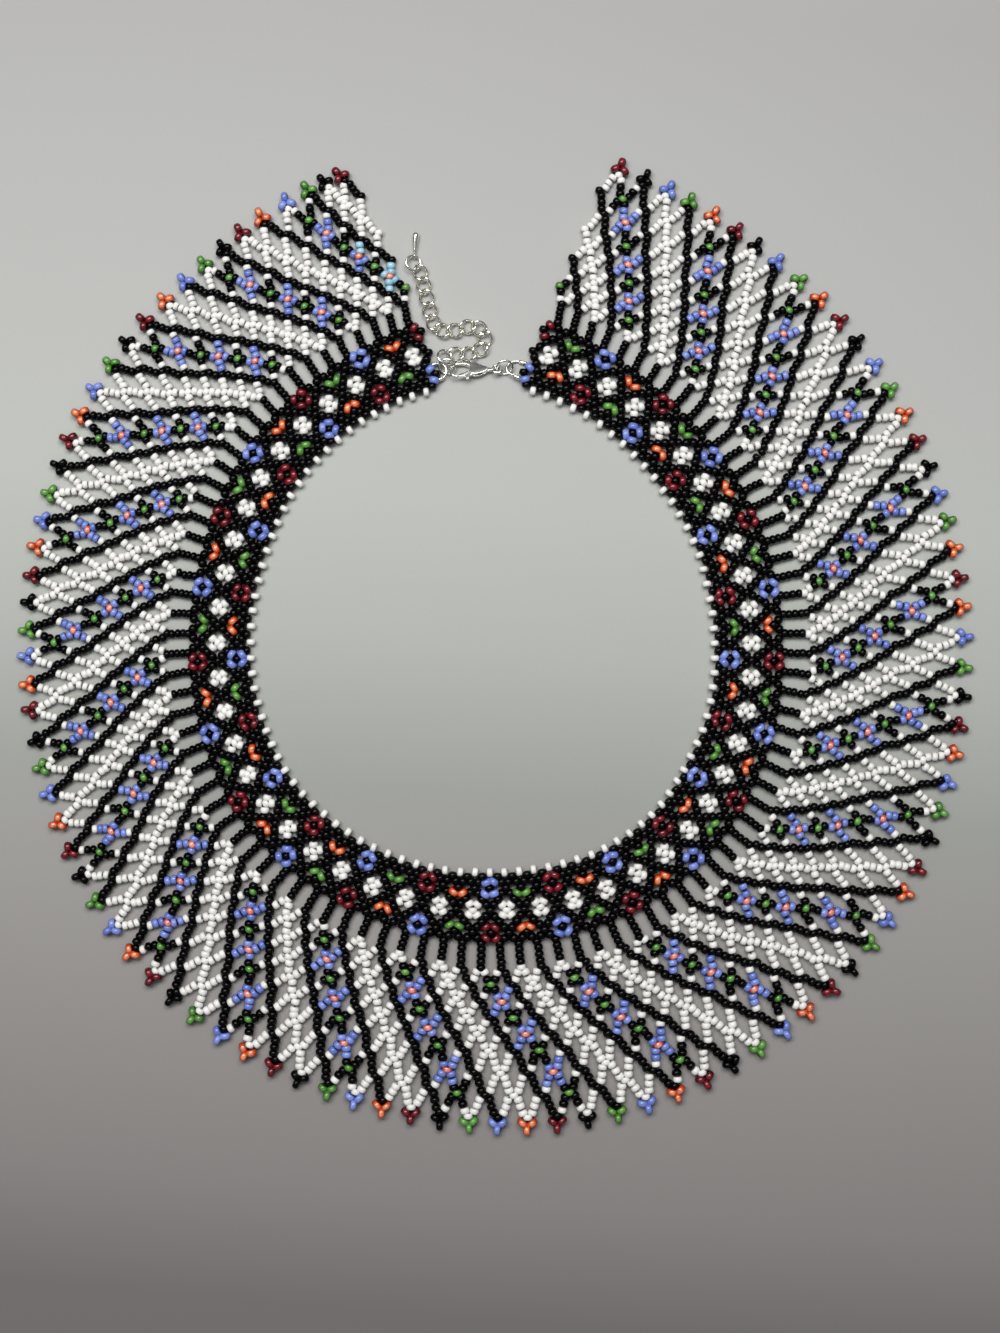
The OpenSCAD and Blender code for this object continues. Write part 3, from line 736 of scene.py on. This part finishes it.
# %% Building a bead piece
def bead_mesh(name, laid):
    """One mesh of all the beads that were laid for a piece."""
    count, per, faces = len(laid), len(bead_points), len(bead_quads)
    centres, firsts, seconds, holes, colours, shades = zip(*laid)
    axes = np.stack([firsts, seconds, holes], axis=1)
    points = np.array(centres)[:, None] + np.einsum("pk,bkc->bpc", bead_points, axes)
    quads = (bead_quads[None] + (np.arange(count) * per)[:, None, None]).reshape(-1, 4)
    mesh = bpy.data.meshes.new(name)
    mesh.vertices.add(count * per)
    mesh.vertices.foreach_set("co", (points.reshape(-1) * MM).astype(np.float32))
    mesh.loops.add(len(quads) * 4)
    mesh.loops.foreach_set("vertex_index", quads.reshape(-1).astype(np.int32))
    mesh.polygons.add(len(quads))
    mesh.polygons.foreach_set("loop_start", np.arange(0, len(quads) * 4, 4, dtype=np.int32))
    mesh.polygons.foreach_set("use_smooth", np.ones(len(quads), bool))
    used = sorted(set(colours), key=PALETTE.index)
    for colour in used:
        mesh.materials.append(GLASS[colour])
    numbers = np.repeat([used.index(colour) for colour in colours], faces)
    mesh.polygons.foreach_set("material_index", numbers.astype(np.int32))
    mesh.update(calc_edges=True)
    shade = mesh.attributes.new("shade", "FLOAT", "POINT")
    shade.data.foreach_set("value", np.repeat(shades, per).astype(np.float32))
    # How far each point faces up: the mask for the painted highlight on the crown and the painted shade
    # on the flank
    normals = np.zeros(count * per * 3, np.float32)
    mesh.vertices.foreach_get("normal", normals)
    crown_highlight = mesh.attributes.new("crown_highlight", "FLOAT", "POINT")
    crown_highlight.data.foreach_set("value", np.clip(normals.reshape(-1, 3)[:, 2], 0, 1))
    return mesh


def place_piece(name, mesh, body, nodes):
    """A mesh as a piece that rides on its body and stands for its nodes."""
    piece = bpy.data.objects.new(name, mesh)
    bpy.context.scene.collection.objects.link(piece)
    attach(piece, body)
    if nodes:
        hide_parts(*nodes)
    return piece


for name in sorted(beads):
    node = "beaded_band" if name.startswith("band") else name
    slot = name.split("_")[0] + "_beads"
    place_piece(name + "_beads", bead_mesh(name, beads[name]), "collar", [node])
print("bead pieces:", len(beads), "the largest with", max(len(v) for v in beads.values()), "beads")

# %% [markdown]
# ## Shapes for thread and wire
#
# Thread, rings, guards, links and the hook of the claw are all one form: something round along a
# course. Blender's curve bevel makes it too, but a swept mesh keeps the number of its faces in hand
# and can change its thickness from point to point. What isn't swept is turned or cut from plate.

# %% Sweeping a round wire
def swept(path, radii, closed=False, sides=14):
    """Points and faces of something round along a course, in millimetres."""
    path = np.asarray(path, float)
    count = len(path)
    radii = np.broadcast_to(radii, count)
    ahead = np.roll(path, -1, 0) - np.roll(path, 1, 0)
    if not closed:
        ahead[0] = path[1] - path[0]
        ahead[-1] = path[-1] - path[-2]
    ahead /= np.linalg.norm(ahead, axis=1)[:, None]
    across = np.cross(ahead, (0, 0, 1))
    across /= np.linalg.norm(across, axis=1)[:, None]
    up = np.cross(across, ahead)
    turn = np.arange(sides) * 2 * math.pi / sides
    rim = np.cos(turn)[None, :, None] * across[:, None] + np.sin(turn)[None, :, None] * up[:, None]
    points = (path[:, None] + radii[:, None, None] * rim).reshape(-1, 3)
    faces = []
    for i in range(count if closed else count - 1):
        low, high = i * sides, (i + 1) % count * sides
        after = [(k + 1) % sides for k in range(sides)]
        faces += [(low + k, high + k, high + n, low + n) for k, n in enumerate(after)]
    if not closed:
        faces += [tuple(range(sides)), tuple(range((count - 1) * sides, count * sides))]
    return points, faces


def round_course(radius, steps):
    """Points of a circle that lies flat, from half a step on."""
    turn = (np.arange(steps) + 0.5) * 2 * math.pi / steps
    return [(radius * math.cos(a), radius * math.sin(a), 0.0) for a in turn]


def turned(profile, middle, axis, steps=24):
    """Points and faces of a closed loop of (radius, place along the axis), turned round an axis."""
    to_axis = np.array(Vector(axis).to_track_quat("Z", "Y").to_matrix())
    turn = np.arange(steps) * 2 * math.pi / steps
    loop = [(r * math.cos(a), r * math.sin(a), z) for a in turn for r, z in profile]
    points = np.array(loop) @ to_axis.T + np.asarray(middle)
    return points, quads_of_turning(steps, len(profile))


def solid(name, parts, material, sharp=40.0):
    """One mesh from several closed forms, smooth except at edges sharper than so many degrees."""
    build = bmesh.new()
    for points, faces in parts:
        verts = [build.verts.new(Vector(p) * MM) for p in points]
        for face in faces:
            build.faces.new([verts[k] for k in face])
    bmesh.ops.remove_doubles(build, verts=build.verts, dist=1e-8)
    bmesh.ops.recalc_face_normals(build, faces=build.faces)
    mesh = bpy.data.meshes.new(name)
    build.to_mesh(mesh)
    build.free()
    mesh.polygons.foreach_set("use_smooth", np.ones(len(mesh.polygons), bool))
    mesh.set_sharp_from_angle(angle=math.radians(sharp))
    mesh.materials.append(material)
    return mesh


print("faces of one straight run of thread:", len(swept([(0, 0, 0), (5, 0, 0)], 1.0, sides=3)[1]))

# %% [markdown]
# ## Thread
#
# Black nylon thread runs through every bead. It shows only in the small gaps beside the knots, but
# there it is what holds the net together. From knot to knot it bends twice, where it enters the beads
# of a leg and where it leaves them, so that three thin straight runs are enough.

# %% Thread through the beads
THREAD_R = 0.15
nylon, finish = new_finish("black_nylon", Specular_IOR_Level=0.35)
place = finish.node("ShaderNodeTexCoord", {}, {}, 3)
ply = finish.noise(place, 0.3 * MM, 2.0)
finish.feed(Base_Color=finish.blend(ply, linear(10, 10, 12), linear(44, 42, 46)))
finish.feed(Roughness=(0.4 + ply * 0.3).clamped())
runs = [swept([(*a, BEAD_R), (*b, BEAD_R)], THREAD_R, sides=3) for a, b in threads]
place_piece("thread", solid("thread", runs, nylon), "collar", [])
print("thread runs:", len(runs))

# %% [markdown]
# ## Silver plate
#
# Rings, chain and clasp are steel and zinc with a bright silver plating. It mirrors the panel and the
# dark horizon, and that alone makes wire look like wire. Plating is never flat: a faint waviness breaks
# the reflections up, and handling leaves duller patches.

# %% Finish of the plating
def plating(name, colour, dull, roughness):
    material, finish = new_finish(name, Metallic=1.0)
    place = finish.node("ShaderNodeTexCoord", {}, {}, 3)
    patch = finish.noise(place, 1.6 * MM, 2.0)
    wave = finish.noise(place, 0.7 * MM, 1.0)
    finish.feed(Base_Color=finish.blend(((patch - 0.45) * 3.0).clamped(), colour, dull))
    finish.feed(Roughness=(roughness + (patch - 0.5) * 0.2).clamped())
    bump = {"Strength": 0.25, "Distance": 0.06 * MM, "Height": wave}
    finish.feed(Normal=finish.node("ShaderNodeBump", {}, bump))
    return material


chain_plate = plating("chain_plating", (0.93, 0.91, 0.82), (0.72, 0.70, 0.6), 0.14)
clasp_plate = plating("clasp_plating", (0.9, 0.89, 0.84), (0.66, 0.65, 0.6), 0.16)
ring_plate = plating("ring_plating", (0.91, 0.9, 0.85), (0.68, 0.67, 0.62), 0.12)
print("platings:", [m.name for m in (chain_plate, clasp_plate, ring_plate)])

# %% [markdown]
# ## Jump rings
#
# A jump ring is wire wound on a rod and cut, so it has a slit, and its two ends never meet quite
# true. Each ring leans in the one that it holds. Its middle is the middle of its box in the frame.

# %% Jump rings
WIRE_R = 0.35
ENDS_ASIDE = 0.05


def middle_of(node):
    """The middle of a node's box, in millimetres."""
    low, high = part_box(node)
    return np.array((low + high) / 2 / MM)


def leaned(points, x_degrees, y_degrees, z_degrees=0.0):
    """Points turned about X, then about Y, then about Z."""
    for degrees, axis in ((x_degrees, "X"), (y_degrees, "Y"), (z_degrees, "Z")):
        points = np.asarray(points) @ np.array(Matrix.Rotation(math.radians(degrees), 3, axis)).T
    return points


def open_ring(radius, slit_at, steps=52, slit=0.16):
    """The course of a cut ring: the two ends stand a little aside of each other."""
    start = math.radians(slit_at) + slit / radius / 2
    reach = 2 * math.pi - slit / radius
    path = []
    for n in range(steps + 1):
        a = start + reach * n / steps
        aside = ENDS_ASIDE * (2 * n / steps - 1) ** 5
        path.append((radius * math.cos(a), radius * math.sin(a), aside))
    return path


# Node, radius, lean about X, lean about Y, where its slit is
RINGS = [
    ("jump_ring_left", 2.23, 32.8, -7.5, 200),
    ("jump_ring_right", 2.2, 42, 8, 75),
    ("chain_ring", 2.11, -18.8, 25.3, 60),
]
for node, radius, lean_x, lean_y, slit_at in RINGS:
    path = leaned(open_ring(radius, slit_at), lean_x, lean_y) + middle_of(node)
    mesh = solid(node, [swept(path, WIRE_R)], ring_plate)
    place_piece(node + "_wire", mesh, "collar", [node])
print("rings:", [r[0] for r in RINGS])

# %% [markdown]
# ## Wire guards
#
# At each end of the band a small guard keeps the ring from sawing through the thread. It is a bent
# channel with a tube at each leg, and the thread goes in at one leg and comes back at the other.

# %% Wire guards
GUARD_Z = 1.2
GUARD_Y = 77.37
CHANNEL_R = 0.3
TUBE_R = 0.55
TUBE_LIP = 0.47
TUBE_BORE = 0.34
TUBE_ROUND = 0.1
# The bend, as x, y and rise, from leg to leg. The first and the last point lie inside the tubes
LEFT_BEND = [
    (-16.64, 79.19, 0), (-16.14, 79.29, 0), (-15.48, 79.37, 0), (-15.04, 79.21, 0.12),
    (-14.63, 78.95, 0.25), (-14.08, 78.35, 0.25), (-13.83, 77.75, 0.25), (-13.73, 77.05, 0.25),
    (-13.83, 76.35, 0.25), (-14.18, 75.65, 0.15), (-14.6, 75.2, 0), (-15.04, 75.02, 0),
]
RIGHT_BEND = [
    (7.06, 79.74, 0), (6.56, 79.92, 0), (5.62, 79.97, 0.1), (4.96, 79.85, 0.2),
    (4.42, 79.65, 0.25), (3.71, 79.22, 0.25), (3.22, 78.75, 0.25), (2.97, 78.05, 0.25),
    (3.07, 77.45, 0.25), (3.36, 76.87, 0.25), (3.72, 76.45, 0.22), (4.32, 76.17, 0.1),
    (4.96, 75.93, 0), (5.36, 75.72, 0),
]
# Each tube from its end at the bend to its mouth at the band
LEFT_TUBES = [((-16.23, 79.28), (-17.88, 78.93)), ((-14.62, 75.19), (-16.4, 74.5))]
RIGHT_TUBES = [((6.62, 79.9), (8.82, 79.15)), ((4.92, 75.95), (6.86, 74.94))]
# The knots at the two nape ends of the band: the thread of a tube goes to the nearest
NAPE_KNOTS = [(0, 0), (-0.5, 1), (0, 2), (LAST, 0), (LAST + 0.5, 1), (LAST, 2)]
nape_knots = [in_band(u, row) for u, row in NAPE_KNOTS]
guard_runs = []


def guard_parts(bend, tubes, lean):
    """The channel and tubes of a guard that leans so much from side to side, and its thread."""
    def raised(x, y, rise=0.0):
        return np.array((x, y, GUARD_Z + lean * (y - GUARD_Y) + rise))

    parts = [swept([raised(*p) for p in bend], CHANNEL_R)]
    for inner, mouth in tubes:
        knot = min(nape_knots, key=lambda place: np.linalg.norm(place - mouth))
        guard_runs.append(swept([raised(*inner), raised(*mouth), (*knot, BEAD_R)], THREAD_R, sides=6))
        start, end = raised(*inner), raised(*mouth)
        long = np.linalg.norm(end - start)
        wall = [(TUBE_BORE, 0), (TUBE_LIP, 0), (TUBE_R, TUBE_ROUND), (TUBE_R, long - TUBE_ROUND),
                (TUBE_LIP, long), (TUBE_BORE, long)]
        parts.append(turned(wall, start, end - start, 18))
    return parts


for node, bend, tubes, lean in (("wire_guard_left", LEFT_BEND, LEFT_TUBES, -0.07),
                                ("wire_guard_right", RIGHT_BEND, RIGHT_TUBES, -0.2)):
    mesh = solid(node, guard_parts(bend, tubes, lean), ring_plate)
    place_piece(node + "_wire", mesh, "collar", [node])
place_piece("guard_thread", solid("guard_thread", guard_runs, nylon), "collar", [])
print("guards:", len(LEFT_TUBES) + len(RIGHT_TUBES), "tubes")

# %% [markdown]
# ## Lobster clasp
#
# The claw is cast: an eye for the ring, a hub that is slit for the gate, and a hook that tapers towards
# the gate's nose. Cast edges are round, so each plate gets a bevel of several steps. The gate is a
# second piece on its pin, and it swings.

# %% Plates with round edges
def smooth_outline(corners, passes=2, closed=True):
    """Cuts off the corners in each pass, which turns a few chosen points into a flowing outline."""
    line = [np.array(p, float) for p in corners]
    for _ in range(passes):
        pairs = list(zip(line, line[1:] + line[:1])) if closed else list(zip(line, line[1:]))
        cut = [p for a, b in pairs for p in (a * 0.75 + b * 0.25, a * 0.25 + b * 0.75)]
        line = cut if closed else [line[0]] + cut[1:-1] + [line[-1]]
    return line


# Edges that turn by more than this, in radians, are made round
SHARP_TURN = 1.2


def plate(outline, thick, edge, hole=()):
    """Points and faces of a flat plate about z = 0, with round edges and maybe a hole."""
    build = bmesh.new()
    rims = []
    for loop in (outline, hole):
        verts = [build.verts.new((p[0], p[1], -thick / 2)) for p in loop]
        rims += [build.edges.new((a, b)) for a, b in zip(verts, verts[1:] + verts[:1])] if verts else []
    bmesh.ops.triangle_fill(build, use_beauty=True, use_dissolve=True, edges=rims)
    raised = bmesh.ops.extrude_face_region(build, geom=list(build.faces))["geom"]
    top = [v for v in raised if isinstance(v, bmesh.types.BMVert)]
    bmesh.ops.translate(build, vec=(0, 0, thick), verts=top)
    bmesh.ops.recalc_face_normals(build, faces=build.faces)
    edges = [e for e in build.edges if e.is_manifold and abs(e.calc_face_angle()) > SHARP_TURN]
    bmesh.ops.bevel(build, geom=edges, offset=edge, segments=3, profile=0.5, affect="EDGES",
                    clamp_overlap=True)
    build.verts.index_update()
    points = [tuple(v.co) for v in build.verts]
    faces = [tuple(v.index for v in f.verts) for f in build.faces]
    build.free()
    return points, faces


print("corners of a square after two passes:", len(smooth_outline([(0, 0), (1, 0), (1, 1), (0, 1)])))

# %% The claw
CLAW_AT = np.array((0.47, 77.6, 1.75))
CLAW_LEAN = -22.0
CLAW_TURN = 2.0
PIVOT = (-6.3, -0.6)
HUB_T = 1.8
SLOT_T = 0.96
NECK_T = 0.84
EYE_R = 1.2
HUB_OUTLINE = [
    (-2.6, -0.45), (-4, -1.2), (-5.3, -1.7), (-6.6, -1.75), (-7.4, -1.35), (-7.7, -0.5), (-7.5, 0.5),
    (-7.9, 1.2), (-8.7, 1.45), (-8.7, 2.4), (-6.8, 2.2), (-4.8, 1.45), (-3.4, 0.7), (-2.6, 0.45),
]
CORE_OUTLINE = [
    (-2.8, -0.4), (-4, -1.05), (-4.4, -1.25), (-4.4, 0.45), (-7.4, 0.45), (-7.8, 1.2), (-8.6, 1.5),
    (-8.6, 2.3), (-6.8, 2.1), (-4.8, 1.35), (-3.4, 0.6), (-2.8, 0.4),
]
NECK_OUTLINE = [(-0.9, -0.35), (-2.4, -0.5), (-4, -0.9), (-4, 0.9), (-2.4, 0.45), (-0.9, 0.35)]
# The hook, from inside the hub round the front to the stop of the gate: x, y, radius
HOOK = [
    (-8, 1.85, 0.66), (-9.5, 2.08, 0.56), (-11, 2.05, 0.52), (-11.7, 1.89, 0.49), (-12.3, 1.57, 0.46),
    (-12.75, 1.1, 0.45), (-13, 0.55, 0.44), (-13.08, -0.05, 0.44), (-12.98, -0.65, 0.44),
    (-12.68, -1.17, 0.44), (-12.2, -1.6, 0.44), (-11.7, -1.8, 0.43), (-11.3, -1.87, 0.4),
    (-11.2, -1.88, 0.3),
]
# The pin's head and shank: radius, and place along the pin
RIVET = [(0.01, -0.96), (0.3, -0.94), (0.34, -0.88), (0.34, 0.88), (0.3, 0.94), (0.01, 0.96)]
CHEEK_EDGE, CORE_EDGE, NECK_EDGE, GATE_EDGE = 0.16, 0.04, 0.2, 0.12


def at_claw(part, lift=0.0):
    """A part in the claw's own places, laid where the claw lies."""
    points, faces = part
    return leaned(np.asarray(points) + (0, 0, lift), CLAW_LEAN, 0, CLAW_TURN) + CLAW_AT, faces


cheek_t = (HUB_T - SLOT_T) / 2
cheek = plate(smooth_outline(HUB_OUTLINE), cheek_t, CHEEK_EDGE)
core = plate(smooth_outline(CORE_OUTLINE, 1), SLOT_T + 0.1, CORE_EDGE)
neck = plate(smooth_outline(NECK_OUTLINE, 1), NECK_T, NECK_EDGE)
eye = swept(round_course(EYE_R, 40), NECK_T / 2, True)
dense_hook = smooth_outline(HOOK, 1, closed=False)
hook = swept([(p[0], p[1], 0) for p in dense_hook], [p[2] for p in dense_hook], sides=18)
rivet = turned(RIVET, (*PIVOT, 0), (0, 0, 1))
lift = (HUB_T - cheek_t) / 2
parts = [at_claw(part) for part in (core, neck, eye, hook, rivet)]
parts += [at_claw(cheek, lift), at_claw(cheek, -lift)]
place_piece("claw", solid("claw", parts, clasp_plate), "collar", ["clasp_body"])
print("claw parts:", len(parts))

# %% The gate
GATE_T = 0.8
ROOT_R = 0.85
BORE_R = 0.42
BAR = [(-6.4, 0.25), (-7.6, -0.15), (-9.3, -0.85), (-11, -1.4), (-11, -2.15), (-9, -1.95), (-8.85, -2.9),
       (-8, -3), (-7.7, -1.85), (-6.5, -1.45)]
# The outline is smoothed but for its root, which is round about the pin
root = [(PIVOT[0] + ROOT_R * math.cos(a), PIVOT[1] + ROOT_R * math.sin(a))
        for a in np.linspace(-1.8, 1.69, 18)[1:-1]]
bore = [(PIVOT[0] + x, PIVOT[1] + y) for x, y, _ in round_course(BORE_R, 20)]
gate = plate(smooth_outline(BAR, closed=False) + root, GATE_T, GATE_EDGE, bore)
place_piece("gate", solid("gate", [at_claw(gate)], clasp_plate), "gate", ["clasp_lever"])
print("gate faces:", len(gate[1]))

# %% [markdown]
# ## Extender chain
#
# A curb link is an oval of wire that was twisted, so that each link lies nearly flat in its
# neighbours. Thirteen such links follow each other along a curl. In the table below each has its
# heading in degrees, and the first one leans a little, because it hangs in the ring.

# %% Curb links
LINK_A = 2.4
LINK_B = 1.85
LINK_R = 0.38
LINK_PITCH = 3.65
LINK_TWIST = 52.0
LINK_Z = 1.2
FIRST_LINK = (-11.13, 81.8)
FIRST_Z = 1.42
FIRST_ROLL = 10.0
HEADINGS = [2, 3, 40, 92, 146, 196, 196, 166, 116, 98, 110, 96, 114]


def curb_link(steps=36):
    """The course of a link: an oval whose sides turn against each other."""
    path = []
    for a in np.arange(steps) * 2 * math.pi / steps:
        lean = math.radians(-LINK_TWIST * math.cos(a))
        side = LINK_B * math.sin(a)
        path.append((LINK_A * math.cos(a), side * math.cos(lean), side * math.sin(lean)))
    return path


ways = [np.array((math.cos(a), math.sin(a))) for a in map(math.radians, HEADINGS)]
middle = np.array(FIRST_LINK)
links = []
for k, heading in enumerate(HEADINGS):
    if k:
        middle = middle + LINK_PITCH / 2 * (ways[k - 1] + ways[k])
    roll, z = (0, LINK_Z) if k else (FIRST_ROLL, FIRST_Z)
    links.append(swept(leaned(curb_link(), roll, 0, heading) + (*middle, z), LINK_R, True, 10))
mesh = solid("curb_chain", links, chain_plate)
place_piece("curb_chain", mesh, "collar", ["extender_chain"])
print("links:", len(links))

# %% [markdown]
# The chain ends in a plain ring and a small solid drop that hangs from it by its own loop.

# %% End ring and drop
END_R = 2.1
END_WIRE = 0.37
END_LEAN = 20
END_TURN = 108
path = leaned(round_course(END_R, 48), END_LEAN, 0, END_TURN) + middle_of("end_ring")
mesh = solid("end_ring", [swept(path, END_WIRE, True)], chain_plate)
place_piece("end_ring_wire", mesh, "collar", ["end_ring"])

DROP_AT = (-22.68, 109.37, 1.06)
DROP_TURN = 87.0
LOOP_R = 0.86
LOOP_WIRE = 0.18
# Radius of the drop and place along it, from the loop to its round end
DROP_PROFILE = [
    (0.01, 0.72), (0.24, 0.76), (0.34, 1.0), (0.42, 1.6), (0.54, 2.6), (0.7, 3.7), (0.85, 4.7),
    (0.92, 5.4), (0.9, 5.95), (0.74, 6.4), (0.45, 6.66), (0.01, 6.74),
]
loop = swept(leaned(round_course(LOOP_R, 32), 90, 0), LOOP_WIRE, True, 10)
drop = turned(DROP_PROFILE, (0, 0, 0), (1, 0, 0))
parts = [(leaned(points, 0, 0, DROP_TURN) + DROP_AT, faces) for points, faces in (loop, drop)]
place_piece("drop", solid("drop", parts, chain_plate), "collar", ["end_drop"])
print("drop:", round(DROP_PROFILE[-1][1], 1), "mm long")
